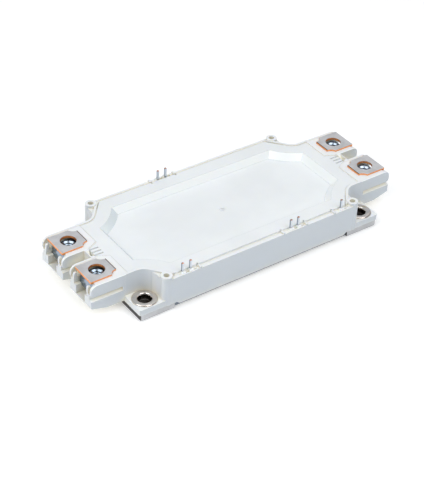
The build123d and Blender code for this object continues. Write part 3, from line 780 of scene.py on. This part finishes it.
class MODULE_OT_inner(Step):
    """Give the sealed substrates, chips, wires, sensor and gel their finishes"""

    bl_idname = "module.inner"
    bl_label = "Sealed pieces"

    def execute(self, context):
        finishes = inner_finishes()
        for row in frame["record"]["subparts"]:
            if row["material_slot"] in finishes:
                dress(finishes[row["material_slot"]], row["node"])
        return {"FINISHED"}


# Name, place and aim in metres, side of the square in metres, and power in watts.
LAMPS = (
    ("overhead", (0.05, 0.15, 0.9), (0, 0, 0), 1.0, 2.55),
    ("left_box", (-0.6, -0.04, 0.64), (0, 0, 0.01), 0.62, 3.1),
    ("right_box", (0.1, -0.58, 0.68), (0, 0, 0.01), 0.6, 3.3),
    ("back_card", (0.46, 0.62, 0.48), (0, 0, 0), 0.9, 1.2),
)


class MODULE_OT_stage(Step):
    """Lay the floor and set the lights, the pale surroundings and the camera"""

    bl_idname = "module.stage"
    bl_label = "Stage and camera"

    def execute(self, context):
        self.floor(context)
        self.surroundings(context)
        for row in LAMPS:
            self.lamp(context, *row)
        self.camera(context)
        return {"FINISHED"}

    def floor(self, context):
        """Pale sheet, a little below the baseplate."""
        half_side, drop = 2.5, 0.2 * MM
        bm = bmesh.new()
        bmesh.ops.create_grid(bm, x_segments=8, y_segments=8, size=half_side)
        mesh = bpy.data.meshes.new("floor")
        bm.to_mesh(mesh)
        bm.free()
        pale = Finish("floor_pale", {
            "Roughness": 0.7, "Emission Color": (1, 1, 1, 1), "Emission Strength": 0.27})
        haze = pale.noise(0.004, 2)
        white = list(colours().floor_pale)
        pale.feed("Base Color", pale.mix(haze, dimmed(white, 0.985), white))
        mesh.materials.append(pale.material)
        floor = bpy.data.objects.new("floor", mesh)
        context.scene.collection.objects.link(floor)
        floor.location.z = -drop

    def surroundings(self, context):
        """Faint cool light from all round, and plain screen colours."""
        world = bpy.data.worlds.new("pale_room")
        world.use_nodes = True
        sky = world.node_tree.nodes["Background"].inputs
        sky["Color"].default_value = (0.93, 0.96, 1.0, 1)
        sky["Strength"].default_value = 0.22
        context.scene.world = world
        context.scene.view_settings.view_transform = "Standard"

    def lamp(self, context, name, place, aim, size, power):
        """Square lamp that faces its aim."""
        light = bpy.data.lights.new(name, "AREA")
        light.shape = "SQUARE"
        light.size = size
        light.energy = power
        lamp = bpy.data.objects.new(name, light)
        context.scene.collection.objects.link(lamp)
        lamp.location = place
        lamp.rotation_euler = (Vector(aim) - Vector(place)).to_track_quat("-Z", "Y").to_euler()

    def camera(self, context):
        """Camera that was matched to the photograph."""
        turn, rise, roll = radians(-36.402), radians(37.102), radians(2.461)
        aim, distance = Vector((-12.888, -11.324, 8)) * MM, 608.622 * MM
        focal_pixels, picture_pixels, sensor = 1465.187, 484, 36.0
        back = Vector((sin(turn) * cos(rise), -cos(turn) * cos(rise), sin(rise)))
        level = Vector((cos(turn), sin(turn), 0))
        lift = level.cross(-back)
        right = level * cos(roll) + lift * sin(roll)
        up = lift * cos(roll) - level * sin(roll)
        lens = bpy.data.cameras.new("camera")
        lens.sensor_width = sensor
        lens.lens = focal_pixels / picture_pixels * sensor
        lens.clip_start = 0.02
        camera = bpy.data.objects.new("camera", lens)
        context.scene.collection.objects.link(camera)
        turned = Matrix((right, up, back)).transposed().to_4x4()
        camera.matrix_world = Matrix.Translation(aim + back * distance) @ turned
        context.scene.camera = camera


STEPS = (
    MODULE_OT_housing,
    MODULE_OT_terminals,
    MODULE_OT_nuts,
    MODULE_OT_bushes,
    MODULE_OT_pins,
    MODULE_OT_baseplate,
    MODULE_OT_inner,
    MODULE_OT_stage,
)


class MODULE_PT_sidebar(bpy.types.Panel):
    """Steps and settings of the power module."""

    bl_idname = "MODULE_PT_sidebar"
    bl_label = "Power module"
    bl_space_type = "VIEW_3D"
    bl_region_type = "UI"
    bl_category = "Power module"

    def draw(self, context):
        for step in STEPS:
            self.layout.operator(step.bl_idname)
        for group in (colours(), sizes()):
            column = self.layout.column()
            for key in group.__annotations__:
                column.prop(group, key)


def register():
    """Add the settings, the steps and the panel."""
    for kind in (MODULE_PG_colours, MODULE_PG_sizes, *STEPS, MODULE_PT_sidebar):
        bpy.utils.register_class(kind)
    bpy.types.Scene.module_colours = bpy.props.PointerProperty(type=MODULE_PG_colours)
    bpy.types.Scene.module_sizes = bpy.props.PointerProperty(type=MODULE_PG_sizes)


def unregister():
    """Take them all out again."""
    del bpy.types.Scene.module_sizes
    del bpy.types.Scene.module_colours
    for kind in (MODULE_PT_sidebar, *reversed(STEPS), MODULE_PG_sizes, MODULE_PG_colours):
        bpy.utils.unregister_class(kind)


def main():
    """Run every step."""
    register()
    for step in STEPS:
        group, name = step.bl_idname.split(".")
        getattr(getattr(bpy.ops, group), name)()


if __name__ == "__main__":
    main()
